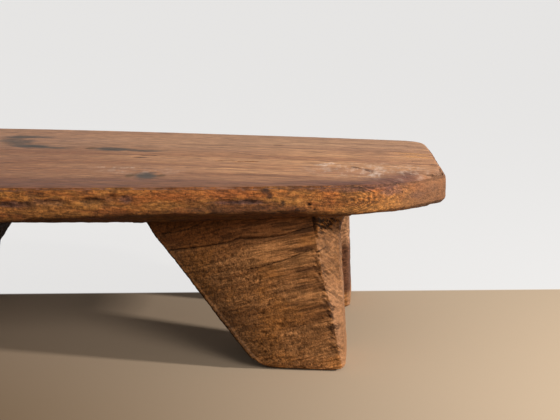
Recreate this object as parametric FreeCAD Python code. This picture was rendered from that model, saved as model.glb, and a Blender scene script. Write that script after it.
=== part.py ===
import FreeCAD, Part
import math
import os

os.makedirs("parts", exist_ok=True)

# A low hewn table, in millimetres: X runs along the board, Y from the front to the
# back, Z up. The origin is on the floor under the middle of the board.

# The board as a whole, and the thickness of its edge above the hewn underside
table_height = 201.0
board_length = 762.0
board_thickness = 46.0
edge_thickness = 30.0

# Half of the board's depth at its left corners, its middle station and its right
# corners: it narrows from left to right along one gentle arc on each side
left_half_depth = 206.0
middle_half_depth = 186.0
right_half_depth = 137.0
middle_station = 20.0

# How far each rear corner stands in from its end, and how far the ends swell
left_end_slant = 4.0
right_end_slant = 13.0
end_bow = 2.0

# The front corners are cut off aslant: lengths along the front edge and along the
# end, and the swell of the cut
right_cut_along = 80.0
right_cut_across = 71.0
left_cut_along = 86.0
left_cut_across = 82.0
cut_bow = 3.0

# Rounding of the board's corners, seen from above
rear_left_radius = 62.0
rear_right_radius = 34.0
cut_to_edge_radius = 90.0
right_cut_to_end_radius = 22.0
left_cut_to_end_radius = 40.0

# The underside is hewn away towards the edges, in step with the outline, so its
# bevel is widest at the two ends. The lower arris between is worn to a narrow flat
end_bevel_width = 84.0
top_arris_radius = 5.0
lower_arris_width = 4.0

# Each foot stands in from the board's end and from its edge, and has its own size
end_overhang = 101.0
edge_overhang = 16.0
front_foot_width = 89.5
rear_foot_width = 80.0
foot_depth = 77.0

# From the foot to the underside, how far a leg's outer face leans in, how far its
# back runs towards the table's middle, and how far its inner slope does: the front
# pair is broader
front_outer_splay = 10.0
rear_outer_splay = 5.0
back_run = 31.0
front_left_slope_run = 103.0
front_right_slope_run = 118.5
rear_slope_run = 32.0

# The facet hewn down each leg's outer corner: it is narrow at the foot and widens
# upwards, because it leans further in than the outer face does
facet_along_x = 4.0
facet_along_y = 6.0
front_facet_lean = 33.0
rear_facet_lean = 15.0

# Worn edges of a leg: its outer corners, its heel under the slope, and the arrises
# of its long face and of its sole
leg_upright_radius = 12.0
front_heel_radius = 18.0
rear_heel_radius = 9.0
leg_arris_radius = 4.0

# The housing in the underside that takes each leg's head
housing_depth = 14.0
housing_clearance = 0.3

# The blind pegs, two to a leg, with the wood left between a hole and the leg's faces
peg_hole_diameter = 18.0
peg_clearance = 0.3
peg_sides = 8
peg_depth_in_leg = 50.0
peg_depth_in_board = 20.0
peg_head_room = 1.0
peg_end_taper = 2.0
peg_wall = 24.0

# How far a cutting shape runs past what it cuts
overrun = 10.0

half_length = board_length / 2
underside_z = table_height - board_thickness
edge_bottom_z = table_height - edge_thickness
leg_height = underside_z + housing_depth
peg_floor_z = leg_height - peg_depth_in_leg
foot_outer_x = half_length - end_overhang


def vec(x, y, z=0.0):
    return FreeCAD.Vector(x, y, z)


def bowed_edge(start, end, bow):
    """An arc from start to end that swells by bow to the left of its direction."""
    along = end - start
    side = vec(-along.y, along.x).normalize()
    return Part.ArcOfCircle(start, (start + end) * 0.5 + side * bow, end)


def half_depth_at(x):
    """Half of the board's depth at a station, on one parabola through the three."""
    left_x = left_end_slant - half_length
    right_x = half_length - right_end_slant
    stations = [(left_x, left_half_depth), (middle_station, middle_half_depth), (right_x, right_half_depth)]
    depth = 0
    for own_x, own_depth in stations:
        others = [other_x for other_x, other_depth in stations if other_x != own_x]
        depth += own_depth * math.prod((x - other) / (own_x - other) for other in others)
    return depth


def long_edge(start_x, end_x, side):
    """Part of the rear edge (side 1) or of the front edge (side -1)."""
    stations = (start_x, (start_x + end_x) / 2, end_x)
    return Part.ArcOfCircle(*[vec(x, side * half_depth_at(x)) for x in stations])


def on_circle(arc, towards):
    """The point of an arc's own circle that lies in the direction of another point."""
    return arc.Center + (towards - arc.Center).normalize() * arc.Radius


def reach_inside(arc, radius):
    """How far a circle that touches an arc from the inside has its centre from the arc's own."""
    chord = arc.EndPoint - arc.StartPoint
    swells_outward = chord.cross(arc.Center - arc.StartPoint).z < 0
    return arc.Radius - radius if swells_outward else arc.Radius + radius


def rounding(arc, following, radius):
    """The arc that rounds the corner between two arcs and touches both of them."""
    corner = arc.EndPoint
    apart = following.Center - arc.Center
    reach = reach_inside(arc, radius)
    other_reach = reach_inside(following, radius)
    along = (reach ** 2 - other_reach ** 2 + apart.Length ** 2) / (2 * apart.Length)
    across = math.sqrt(reach ** 2 - along ** 2)
    direction = vec(apart.x, apart.y).normalize()
    side = vec(-direction.y, direction.x)
    foot = arc.Center + direction * along
    centre = min(foot + side * across, foot - side * across, key=corner.distanceToPoint)
    first, last = on_circle(arc, centre), on_circle(following, centre)
    outward = ((first - centre) + (last - centre)).normalize()
    return Part.ArcOfCircle(first, centre + outward * radius, last)


def rounded_outline(arcs, radii):
    """A closed outline of arcs, taken clockwise, that run on smoothly: the corner after each
    arc is rounded."""
    corners = [rounding(*three) for three in zip(arcs, arcs[1:] + arcs[:1], radii)]
    edges = []
    for before, arc, after in zip(corners[-1:] + corners[:-1], arcs, corners):
        start, end = before.EndPoint, after.StartPoint
        edges.append(Part.ArcOfCircle(start, on_circle(arc, (start + end) * 0.5), end).toShape())
        edges.append(after.toShape())
    return Part.Wire(edges)


def edges_where(shape, test):
    """The edges of a shape whose bounding boxes pass a test."""
    return [edge for edge in shape.Edges if test(edge.BoundBox)]


def board_outline():
    """The board seen from above, with its middle at the origin."""
    left_x = left_end_slant - half_length
    right_x = half_length - right_end_slant
    left_cut_x = left_cut_along - half_length
    right_cut_x = half_length - right_cut_along
    rear_left = vec(left_x, half_depth_at(left_x))
    rear_right = vec(right_x, half_depth_at(right_x))
    right_end = vec(half_length, right_cut_across - half_depth_at(right_cut_x))
    right_front = vec(right_cut_x, -half_depth_at(right_cut_x))
    left_front = vec(left_cut_x, -half_depth_at(left_cut_x))
    left_end = vec(-half_length, left_cut_across - half_depth_at(left_cut_x))
    outline = rounded_outline([
        long_edge(left_x, right_x, 1),
        bowed_edge(rear_right, right_end, end_bow),
        bowed_edge(right_end, right_front, cut_bow),
        long_edge(right_cut_x, left_cut_x, -1),
        bowed_edge(left_front, left_end, cut_bow),
        bowed_edge(left_end, rear_left, end_bow),
    ], [
        rear_right_radius,
        right_cut_to_end_radius,
        cut_to_edge_radius,
        cut_to_edge_radius,
        left_cut_to_end_radius,
        rear_left_radius,
    ])
    centre = outline.optimalBoundingBox().Center
    outline.translate(vec(-centre.x, -centre.y))
    return outline


def drawn_in(outline, width, z):
    """The outline at a height, drawn in towards its middle by a width at the ends."""
    smaller = outline.scaled(1 - width / half_length, vec(0, 0))
    smaller.translate(vec(0, 0, z))
    return smaller


def hewn_board():
    """The board with its hewn underside and worn arrises, before its housings."""
    outline = board_outline()
    band_bottom_z = edge_bottom_z + lower_arris_width
    rim = drawn_in(outline, 0, band_bottom_z)
    band = Part.Face(rim).extrude(vec(0, 0, table_height - band_bottom_z))
    top_rim = edges_where(band, lambda box: box.ZMin > table_height - top_arris_radius)
    band = band.makeFillet(top_arris_radius, top_rim)
    underside = Part.makeLoft([
        rim,
        drawn_in(outline, lower_arris_width, edge_bottom_z),
        drawn_in(outline, end_bevel_width, underside_z),
    ], True, True)
    return band.fuse(underside).removeSplitter()


def extruded(points, direction):
    """A prism on a polygon."""
    return Part.Face(Part.makePolygon(points + points[:1])).extrude(direction)


def leg_face_y():
    """How far the legs' outer long faces stand from the table's middle."""
    return half_depth_at(foot_outer_x - front_foot_width / 2) - edge_overhang


class LegForm:
    """What sets one leg apart from the others, seen as if it were the front right one."""

    def __init__(self, foot_width, slope_run, outer_splay, facet_lean, heel_radius):
        self.foot_inner_x = foot_outer_x - foot_width
        self.slope_run = slope_run
        self.outer_splay = outer_splay
        self.facet_lean = facet_lean
        self.heel_radius = heel_radius

    def slope_x(self, z):
        """Where the inner slope stands at a height."""
        return self.foot_inner_x - self.slope_run * z / underside_z

    def outer_x(self, z):
        """Where the outer face stands at a height."""
        return foot_outer_x - self.outer_splay * z / underside_z


def back_y(z):
    """How far a leg's back face stands from the table's middle at a height."""
    return leg_face_y() - foot_depth - back_run * z / underside_z


def outer_facet(form, grow):
    """What is hewn off a leg's outer corner."""
    corner = vec(foot_outer_x + grow, -leg_face_y() - grow)
    past_end = vec(facet_along_x, facet_along_y).normalize() * (overrun + 2 * form.facet_lean)
    start = corner - vec(facet_along_x, 0) - past_end
    end = corner + vec(0, facet_along_y) + past_end
    return extruded([start, vec(end.x, start.y), end], vec(-form.facet_lean, 0, leg_height))


def hewn_leg(form, grow):
    """The front right leg, or with grow the hollow that takes it."""
    face_y = -leg_face_y() - grow
    seen_from_front = extruded([
        vec(form.slope_x(0) - grow, 0, 0),
        vec(form.outer_x(0) + grow, 0, 0),
        vec(form.outer_x(leg_height) + grow, 0, leg_height),
        vec(form.slope_x(leg_height) - grow, 0, leg_height),
    ], vec(0, face_y, 0))
    seen_from_end = extruded([
        vec(0, face_y, 0),
        vec(0, grow - back_y(0), 0),
        vec(0, grow - back_y(leg_height), leg_height),
        vec(0, face_y, leg_height),
    ], vec(half_length, 0, 0))
    leg = seen_from_front.common(seen_from_end).cut(outer_facet(form, grow)).Solids[0]
    facet_arris = edges_where(leg, lambda box: (
        box.ZLength > underside_z and box.XMin > form.foot_inner_x and box.YMax < face_y + peg_clearance
    ))
    leg = leg.makeFillet(leg_arris_radius + grow, facet_arris)
    outer_corners = edges_where(leg, lambda box: (
        box.ZLength > underside_z and box.XMax > foot_outer_x - leg_arris_radius
        and box.YMin > face_y + leg_arris_radius + grow
    ))
    leg = leg.makeFillet(leg_upright_radius + grow, outer_corners)
    heel = edges_where(leg, lambda box: (
        box.ZMax < overrun and box.XMax < form.foot_inner_x + overrun and box.YLength > overrun
    ))
    leg = leg.makeFillet(form.heel_radius + grow, heel)
    # The worn arris runs on from here round the whole foot and up both slope edges
    front_sill = edges_where(leg, lambda box: (
        box.ZMax < overrun and box.YMax < face_y + peg_clearance and box.XMin > form.foot_inner_x
    ))
    return leg.makeFillet(leg_arris_radius + grow, front_sill)


def riven_peg():
    """A peg split to an even number of flats, with its ends chamfered."""
    radius = peg_hole_diameter / 2 - peg_clearance
    turns = [2 * math.pi * k / peg_sides for k in range(peg_sides)]
    corners = [vec(radius * math.cos(turn), radius * math.sin(turn), peg_floor_z) for turn in turns]
    peg = extruded(corners, vec(0, 0, peg_depth_in_leg + peg_depth_in_board))
    end_rims = edges_where(peg, lambda box: box.ZLength < peg_clearance)
    return peg.makeChamfer(peg_end_taper, end_rims)


def peg_hole():
    """The round blind hole for one peg, through the joint of leg and board."""
    depth = peg_depth_in_leg + peg_depth_in_board + peg_head_room
    return Part.makeCylinder(peg_hole_diameter / 2, depth, vec(0, 0, peg_floor_z))


def peg_stations(form):
    """Where the two pegs of the front right leg stand."""
    from_face = peg_wall + peg_hole_diameter / 2
    y = -(leg_face_y() + back_y(peg_floor_z)) / 2
    return {
        "inner": vec(form.slope_x(peg_floor_z) + from_face, y),
        "outer": vec(form.outer_x(leg_height) - from_face, y),
    }


def at_corner(shape, corner):
    """A shape of the front right leg, mirrored to another corner of the table."""
    if corner.startswith("rear"):
        shape = shape.mirror(vec(0, 0), vec(0, 1))
    if corner.endswith("left"):
        shape = shape.mirror(vec(0, 0), vec(1, 0))
    return shape


def moved(shape, place):
    copy = shape.copy()
    copy.translate(place)
    return copy


front = (front_outer_splay, front_facet_lean, front_heel_radius)
rear = (rear_outer_splay, rear_facet_lean, rear_heel_radius)
forms = {
    "front_left": LegForm(front_foot_width, front_left_slope_run, *front),
    "front_right": LegForm(front_foot_width, front_right_slope_run, *front),
    "rear_left": LegForm(rear_foot_width, rear_slope_run, *rear),
    "rear_right": LegForm(rear_foot_width, rear_slope_run, *rear),
}

pieces = {}
board = hewn_board()
for corner, form in forms.items():
    leg = at_corner(hewn_leg(form, 0), corner)
    board = board.cut(at_corner(hewn_leg(form, housing_clearance), corner))
    for station, place in peg_stations(form).items():
        hole = at_corner(moved(peg_hole(), place), corner)
        leg = leg.cut(hole)
        board = board.cut(hole)
        pieces["peg_" + corner + "_" + station] = at_corner(moved(riven_peg(), place), corner)
    pieces["leg_" + corner] = leg.Solids[0]
pieces["tabletop_board"] = board.Solids[0]

for node, shape in pieces.items():
    print(node, shape.isValid(), round(shape.Volume), shape.optimalBoundingBox())
    shape.exportStep("parts/" + node + ".step")
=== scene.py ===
import math

import bpy
import numpy as np
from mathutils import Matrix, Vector


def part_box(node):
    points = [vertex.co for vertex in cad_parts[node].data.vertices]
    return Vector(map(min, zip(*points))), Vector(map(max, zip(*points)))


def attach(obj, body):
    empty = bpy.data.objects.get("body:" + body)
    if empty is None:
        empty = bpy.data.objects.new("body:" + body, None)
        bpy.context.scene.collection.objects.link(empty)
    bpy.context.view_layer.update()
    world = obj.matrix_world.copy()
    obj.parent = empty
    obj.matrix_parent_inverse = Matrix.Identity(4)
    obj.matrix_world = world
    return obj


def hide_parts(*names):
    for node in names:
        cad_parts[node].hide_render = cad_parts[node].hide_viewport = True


# A low hewn table. The camera, the lamps and the voxels are in metres. Places and sizes on
# the wood are in millimetres, because that is how one measures them there, and MM turns them
# into metres. The materials' patterns have their number of cells in a metre along each axis.

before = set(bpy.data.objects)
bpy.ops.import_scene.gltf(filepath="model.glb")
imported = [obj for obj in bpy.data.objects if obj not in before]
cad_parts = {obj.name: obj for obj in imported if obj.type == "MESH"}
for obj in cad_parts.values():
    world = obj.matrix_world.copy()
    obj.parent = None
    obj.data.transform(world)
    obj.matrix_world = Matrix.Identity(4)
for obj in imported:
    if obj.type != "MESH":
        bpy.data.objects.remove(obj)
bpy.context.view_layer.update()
MM = 0.001

board_low, board_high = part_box("tabletop_board")
TOP_Z = board_high.z / MM
UNDERSIDE_Z = board_low.z / MM
RIGHT_END_X = board_high.x / MM
TOP_OF_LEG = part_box("leg_front_right")[1].z / MM
CORNERS = ("front_left", "front_right", "rear_left", "rear_right")

# Voxels of the wood's surface, and the share of its faces that is kept
BOARD_VOXEL = 1.6 * MM
LEG_VOXEL = 1.1 * MM
KEEP_SHARE = 0.35

# Seeds of the noise in the shapes: the legs take theirs in the order of CORNERS
BOARD_SEED = 11
FIRST_LEG_SEED = 20

# Marks in the board's surfaces: depth and size of the noise's cells in mm, and the place in it
TOP_MARKS = [(0.22, (190, 60, 60), 0), (0.10, (60, 3.2, 9), 900)]
SIDE_MARKS = [(0.40, (75, 40, 16), 300), (0.45, (15, 9, 6), 400), (0.30, (7, 5, 3.4), 500)]
ARRIS_MARKS = (0.35, (26, 26, 12), 600)
# Adze hollows and fine tears in the underside, with a least depth
UNDER_LEAST = 0.5
UNDER_SCALLOPS = (1.3, (34, 26, 60), 800)
UNDER_TEARS = [(0.25, (18, 2.4, 2.4), 850)]
# Chips out of the worn arris: the same, layers, and the noise's values where they begin
ARRIS_CHIPS = [(0.6, (11, 9, 9), 650, 2, 0.1, 0.7), (1.3, (34, 34, 60), 670, 3, 0.0, 0.8)]

# Where the board's right end and its rear half begin, in mm
RIGHT_END_SPAN = (270, 340)
REAR_SPAN = (0, 60)
# The rim of the top rolls over within a width, in mm, less at the rear
RIM_ROLL_WIDTH = 13
RIM_ROLL_DEPTH = 1.4
REAR_ROLL_LESS = 1.1
CUT_ROLL_WIDTH = 24
CUT_ROLL_DEPTH = 2.0
# The front's upper part leans in at the right end, above a height, in mm
END_LEAN_Z = 186
END_LEAN_HEIGHT = 15
END_LEAN_DEPTH = 1.4
# The lower arris sags and rises: its height, how far that reaches up and in from the edge,
# and from which x the cut-off corner counts too, in mm
LOWER_ARRIS_Z = 172
LOWER_ARRIS_REACH = 8
LOWER_ARRIS_INNER = 34
LOWER_ARRIS_OUTER = 8
CUT_COUNTS_X = 250
# The board keeps its form round the legs' heads, within margins in mm
JOINT_SIDE_MARGIN = 2
JOINT_LOW_MARGIN = 0.6
JOINT_HIGH_MARGIN = 6

# The legs' grain rises towards the table's ends
LEG_GRAIN_RISE = math.radians(13)

# Marks in the legs: long and short waves, and fine fibres that are weaker on the facet
LEG_WAVES = [(0.55, (70, 50, 30), 0), (0.3, (16, 12, 8), 200)]
LEG_FIBRES = [(0.20, (18, 3.0, 2.8), 300)]
FACET_FIBRES_LESS = 0.6
# Pits of the rasped part, which ends at a line that leans
PIT_DEPTH = 0.9
RASPED_LEAN = 0.76
RASPED_END = (250, 310)
# Saw ripples on the front: their spacing, their depth, and how much deeper they are low down
RIPPLE_SPACING = 5.2
RIPPLE_DEPTH = 0.05
LOW_RIPPLE_DEPTH = 0.14
LOW_RIPPLE_SPAN = (40, 110)
# Torn fibres in the knot and beside the facet's arris: least depth, depth and cells in mm
KNOT_TEARS = (1.6, 2.6, (9, 5, 2.6))
ARRIS_TEARS = (0.2, 1.8, (5, 5, 1.9))
# Those on the facet: depth and cells
FACET_TEARS = (1.1, (11, 8, 2.6))
FACET_TEARS_SPAN = (70, 105)
# The torn strip beside the arris: how far in it lies, its half width, and where it begins
# and ends in mm
STRIP_INSET = 3
STRIP_WIDTH = 6
STRIP_FRONT_SPAN = (100, 120)
STRIP_LOW_SPAN = (8, 30)
STRIP_HIGH_SPAN = (120, 140)
# A leg keeps its form in the board, and its outer face flares out up to there
UNDER_BOARD_SPAN = (146, 156)
IN_BOARD_SPAN = (155, 158)
FLARE_SPAN = (134, 164)
FLARE_OUT = 6.0
FLARE_END = 168
REAR_LEG_OUT = 1.6

# Cracks on the front right leg's face: points (x, z) in mm, half width and depth in mm
LEG_CRACKS = [
    (
        [
            (84, 128), (94, 127), (112, 129), (133, 132), (154, 136),
            (169, 141), (192, 142), (215, 146), (231, 152), (247, 156),
        ],
        0.9, 3.0,
    ),
    ([(88, 144), (108, 148), (128, 155)], 0.6, 1.5),
    ([(169, 107), (188, 111), (206, 117), (220, 122), (243, 132)], 0.5, 1.2),
    ([(247, 128), (257, 132)], 0.9, 2.0),
]
# The torn knot under the board on that leg's outer corner: middle (x, z) and radii in mm
LEG_KNOT = ((257, 157), (14, 10))
# The spacing of the dark ribs across the legs' grain
RIB_SPACING = 7.8

# The front legs' facet: where its front arris stands at heights, in mm, and how steeply
# the fibres there are torn
ARRIS_HEIGHTS = [0, 25, 55, 85, 110, 127, 150]
ARRIS_PLACES = [276, 272, 267, 261, 253, 250, 248]
TORN_FIBRE_FALL = math.radians(42)

# Where the inner slopes of the front and rear legs meet the floor
FOOT_INNER_X = {"front": 190.5, "rear": 200}
# The sloping face of a front leg stands out from its plane, more near the floor, in mm
SLOPE_RISE_HEIGHTS = [0, 14, 150]
SLOPE_RISES = [0.5, 3.6, 1.2]
# How far the worn front edge of the sole stands off the floor, at stations along it
SOLE_STATIONS = [190, 204, 222, 250, 266, 280]
SOLE_WEAR = [3.6, 2.2, 1.6, 1.4, 1.6, 3.4]
# That wear eases out above the floor and behind the front edge
SOLE_WEAR_HEIGHT = 22
SOLE_WEAR_SPAN = (112, 138)

# Painted shade under the board: the legs' wood there is painted dark above a line that rises
# outwards, and the facet is painted darker near the board. The rasped part ends at a line that leans
HEAD_SHADE_SLOPE = 0.17
RASPED_COLOUR_LEAN = 0.80
FACET_HIGH_SHADE = 0.30
# The purple stain on the rear right leg's face that looks to the front leg
REAR_STAIN = ((276, 62), (60, 44))

# Cracks in the top: points (x, y) in mm, half width and depth in mm
TOP_CRACKS = [
    ([(128, -27), (145, -25), (150, -27)], 0.7, 1.2),
    ([(150, -32), (162, -30), (176, -29)], 0.9, 1.6),
    ([(38, 1), (55, 3)], 0.7, 0.8),
    ([(183, 86), (196, 87)], 0.9, 1.0),
    ([(30, -12), (47, -11)], 0.6, 0.6),
    ([(278, -50), (288, -56), (298, -72), (304, -84)], 0.9, 0.7),
    ([(366, -36), (378, -44)], 0.9, 1.0),
]

# How strongly the wood mirrors the room: the top is waxed and the legs are dry
BOARD_SPECULAR = 0.26
LEG_SPECULAR = 0.09

# The floor in metres, and the line beyond which the ground is white
GROUND_HALF = 30.0
FLOOR_LINE_SPAN = (0.104, 0.110)
FLOOR_LINE_SLOPE = 0.112
# Painted light in the floor's colour: darker towards the front left, lighter towards the right and the
# back
FLOOR_PAINTED_LIGHT_BACK_SPAN = (-0.35, 0.05)
FLOOR_PAINTED_LIGHT_RIGHT_SPAN = (-0.30, 0.45)
FLOOR_PAINTED_LIGHT_RIGHT_SLOPE = 0.3
FLOOR_ROUGHNESS = 0.9
FLOOR_SPECULAR = 0.1
FLOOR_FRONT_PAINTED_SHADE = (0.160, 0.104, 0.058)
FLOOR_BACK_PAINTED_LIGHT = (0.370, 0.272, 0.190)
FLOOR_RIGHT_PAINTED_LIGHT = (0.41, 0.318, 0.226)
WALL_COLOUR = (0.80, 0.79, 0.78)
WALL_GLOW = (0.83, 0.82, 0.81)
WALL_GLOW_SHARE = 0.92
ROOM_COLOUR = (1.0, 0.985, 0.965)
ROOM_STRENGTH = 0.42
ROOM_SEEN_STRENGTH = 0.9

# The lamps: azimuth and elevation in degrees, distance and size in metres, watts and colour
LAMPS = {
    "window": (76, 21, 1.6, 0.10, 29, (1.0, 0.955, 0.90)),
    "room_side": (35, 32, 2.4, 0.9, 26, (1.0, 0.97, 0.93)),
}
LAMP_TARGET = (0.1, 0, 0.12)

# The camera: its sensor and lens in mm, its place in metres, and its turn in degrees
SENSOR_WIDTH = 36.0
LENS = 64.29
CAMERA_PLACE = (0.292, -1.121, 0.399)
CAMERA_TURN = (77, 0, 4.77)

# Colours of the board's rubbed top
TOP_BROWN = (0.310, 0.134, 0.060)
TOP_TAN = (0.500, 0.255, 0.122)
TOP_RED = (0.245, 0.093, 0.043)
TOP_MAUVE = (0.330, 0.152, 0.080)
TOP_PORE = (0.110, 0.042, 0.020)
TOP_RIM = (0.140, 0.052, 0.030)
TOP_END_RIM = (0.085, 0.030, 0.024)
TOP_LINE_COLOUR = (0.130, 0.052, 0.024)
TOP_SCUFF_COLOUR = (0.620, 0.460, 0.360)
TOP_CRACK_COLOUR = (0.025, 0.011, 0.006)
TOP_ORANGE = (0.620, 0.290, 0.095)
TOP_GREYED = (0.420, 0.270, 0.175)
SLATE = (0.072, 0.054, 0.041)
KNOT_BROWN = (0.110, 0.050, 0.014)

# Colours of the board's raw sides
EDGE_BROWN = (0.180, 0.056, 0.011)
EDGE_OCHRE = (0.290, 0.120, 0.027)
EDGE_RUST = (0.225, 0.064, 0.015)
EDGE_DARK = (0.075, 0.026, 0.009)
EDGE_FLECK = (0.035, 0.013, 0.006)
EDGE_PALE = (0.430, 0.205, 0.070)
EDGE_PURPLE = (0.085, 0.038, 0.030)
EDGE_END = (0.135, 0.060, 0.028)
EDGE_HOLE = (0.010, 0.004, 0.002)
# How much darker the underside is painted than the sides, as painted shade
UNDER_SHADE = 0.55
# How much darker the worn arris round the top is than the sides
ARRIS_SHADE = 0.66

# Colours of the legs
LEG_BROWN = (0.158, 0.063, 0.020)
LEG_LIGHT = (0.290, 0.128, 0.046)
LEG_ORANGE = (0.250, 0.095, 0.022)
LEG_DARK = (0.062, 0.025, 0.010)
LEG_FLECK = (0.036, 0.014, 0.006)
# Painted shade: the dark of the legs' wood under the board
LEG_HEAD_SHADE = (0.068, 0.018, 0.004)
LEG_FACET = (0.232, 0.116, 0.058)
LEG_PURPLE = (0.086, 0.034, 0.019)
REAR_LEG_LIGHT = (0.370, 0.190, 0.096)
CRACK_COLOUR = (0.022, 0.009, 0.004)
PEG_DARK = (0.24, 0.115, 0.050)
PEG_LIGHT = (0.44, 0.25, 0.125)

# How far the fibres sway, in mm, and how deep the relief of the materials is, in mm
TOP_SWAY = 20
EDGE_SWAY = 14
LEG_SWAY = 20
RIB_SWAY = 10
BOARD_RELIEF = 0.8
LEG_RELIEF = 1.0
PEG_RELIEF = 0.3
# How the grain rises along the raw edge, and how far apart the legs lie in their noise, in m
EDGE_GRAIN_RISE = 0.05
LEG_SHIFT = 0.37

# The slope of the top's grain, and how it bends along the board's narrowing half, in metres
TOP_GRAIN_SLOPE = 0.04
TOP_GRAIN_BEND = -0.40

# The board's front edge as a parabola in metres, and the cut-off corner as a line: its
# distance from the origin in mm, and its direction outwards
FRONT_EDGE_FIT = (-0.124, -0.0947, 0.188)
CUT_DISTANCE = 314.0
CUT_OUTWARD = (0.689, -0.725)

# The dark band along the top's front edge: its width in mm at stations along the board
RIM_STATIONS = [-380, 0, 95, 190, 290, 380]
RIM_WIDTHS = [92, 90, 80, 52, 38, 36]

# How far the board's lower arris stands above its own plane, at stations, in mm
SAG_STATIONS = [-380, -140, -70, -30, 0, 30, 60, 100, 230, 270, 310, 330, 345, 382]
SAG_HEIGHTS = [-6.0, -7.2, -6.6, -4.6, -2.6, -1.2, 0.4, 1.4, 1.2, -0.6, -1.4, -2.4, -3.0, -2.8]

# Dark lines of the grain in the top: points (x, y) in mm and half width in mm
TOP_LINES = [
    ([(60, 85), (143, 75), (217, 66), (265, 63), (319, 53), (359, 39), (381, 17)], 2.6),
    ([(137, 31), (222, -12), (267, -21), (317, -30), (355, -42)], 2.2),
    ([(-60, 70), (20, 62), (110, 50), (170, 30)], 1.6),
    ([(200, 112), (290, 101), (345, 92), (370, 70)], 2.2),
    ([(224, -37), (279, -36), (333, -41)], 1.6),
    ([(-40, 12), (40, 2), (110, -12)], 1.6),
    ([(100, -70), (150, -66), (210, -78)], 1.8),
]

# Stains in the top: middle (x, y) and radii in mm, colour, strength, and for some a turn
TOP_STAINS = [
    ((-140, 128), (34, 13), SLATE, 0.85),
    ((-150, 103), (20, 26), SLATE, 0.72),
    ((-130, 80), (18, 26), SLATE, 0.78),
    ((-110, 56), (30, 17), SLATE, 0.98, -0.25),
    ((-80, 44), (36, 8), SLATE, 0.72, -0.1),
    ((-6, 40), (36, 14), SLATE, 0.96, -0.1),
    ((34, 32), (30, 9), SLATE, 0.75, -0.1),
    ((69, -118), (14, 22), SLATE, 0.98),
    ((-34, 46), (8, 9), KNOT_BROWN, 0.85),
    ((52, -121), (6, 12), KNOT_BROWN, 0.8),
    ((85, -116), (5, 10), KNOT_BROWN, 0.75),
    ((40, -12), (10, 3.0), TOP_PORE, 0.9),
    ((190, 86), (8, 4.0), TOP_PORE, 0.95),
    ((350, 38), (30, 5), TOP_ORANGE, 0.7, -0.2),
    ((358, 15), (24, 6), TOP_ORANGE, 0.6, -0.4),
    ((284, -53), (6, 4), TOP_LINE_COLOUR, 0.85, -0.4),
    ((300, -72), (13, 5), TOP_LINE_COLOUR, 0.80, -0.9),
    ((372, -32), (9, 3.5), TOP_LINE_COLOUR, 0.85, -0.4),
]

# Pale scuffs on the top: middle (x, y) and radii in mm, and strength
TOP_SCUFFS = [
    ((248, -44), (14, 7), 1.0),
    ((259, -33), (13, 7), 0.9),
    ((266, -84), (10, 8), 0.7),
    ((282, -60), (14, 8), 0.8),
    ((302, -92), (14, 9), 0.8),
    ((318, -101), (22, 8), 0.8),
    ((300, -70), (80, 52), 0.55),
    ((28, -76), (34, 6), 0.65),
    ((60, -95), (60, 22), 0.30),
]

# Marks on the board's front edge: middle (x, z) and radii in mm, colour and strength
EDGE_MARKS = [
    ((-46, 184), (26, 4), EDGE_PURPLE, 0.85),
    ((-12, 186), (26, 4), EDGE_PURPLE, 0.80),
    ((-28, 195), (13, 5), EDGE_DARK, 0.55),
    ((28, 187), (14, 4), EDGE_FLECK, 0.85),
    ((47, 191), (13, 5), EDGE_DARK, 0.70),
    ((62, 189), (8, 6), EDGE_PURPLE, 0.80),
    ((130, 194), (95, 8), EDGE_RUST, 0.55),
    ((10, 184), (60, 5), EDGE_OCHRE, 0.45),
    ((160, 181), (66, 8), EDGE_DARK, 0.62),
    ((172, 185), (36, 3), EDGE_PURPLE, 0.85),
    ((190, 177), (90, 5), EDGE_DARK, 0.55),
    ((198, 196), (5, 4), EDGE_FLECK, 0.85),
    ((202, 191), (4, 3), EDGE_FLECK, 0.85),
    ((241, 182), (2.4, 1.9), EDGE_HOLE, 0.90),
    ((246, 177), (1.8, 1.5), EDGE_HOLE, 0.85),
    ((229, 177), (3, 2.4), EDGE_FLECK, 0.9),
    ((215, 184), (3, 3), EDGE_HOLE, 0.9),
    ((300, 176), (46, 6), EDGE_OCHRE, 0.70),
    ((345, 176), (20, 4), EDGE_OCHRE, 0.75),
    ((322, 192), (16, 6), EDGE_PURPLE, 0.72),
    ((348, 184), (10, 5), EDGE_PURPLE, 0.70),
    ((366, 188), (10, 6), EDGE_PURPLE, 0.55),
    ((300, 197), (60, 4), EDGE_PURPLE, 0.60),
]

# Gouges in the board's front edge: middle (x, z), radii and depth in mm
EDGE_GOUGES = [
    ((-46, 184), (24, 3.5), 2.4),
    ((-12, 186), (22, 3.5), 2.2),
    ((-28, 196), (10, 5), 1.4),
    ((29, 187), (13, 4), 2.6),
    ((50, 190), (16, 5), 2.0),
    ((172, 185), (34, 2.4), 1.8),
    ((160, 181), (60, 8), 0.9),
    ((241, 182), (2.4, 1.9), 2.2),
    ((246, 177), (1.8, 1.5), 1.4),
    ((330, 190), (30, 7), 1.0),
]

# The whorl in the raw grain near the cut-off corner: middle (x, z) and radii in mm, its turn,
# how many radii it reaches, and its rings in each radius
WHORL = ((276, 184), (38, 15), -0.22, 1.1, 6.6)

# Dark bands on the front right leg: middle (x, z) and radii in mm, and strength
LEG_BANDS = [
    ((238, 154), (20, 7.0), 0.90),
    ((236, 132), (15, 4.5), 0.75),
    ((235, 110), (14, 4.0), 0.65),
    ((238, 93), (14, 3.0), 0.55),
    ((230, 74), (22, 4.0), 0.40),
    ((214, 88), (30, 3.0), 0.30),
]

# Light patches on that leg: middle (x, z) and radii in mm, and strength
LEG_PATCHES = [
    ((196, 130), (28, 9), 0.70),
    ((182, 122), (22, 9), 0.50),
    ((232, 30), (34, 14), 0.35),
    ((256, 18), (28, 14), 0.75),
]

# Noise

TABLE_SIZE = 256
NOISE_GAIN = 1.6
LAYER_SHIFT = 17.3


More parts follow.
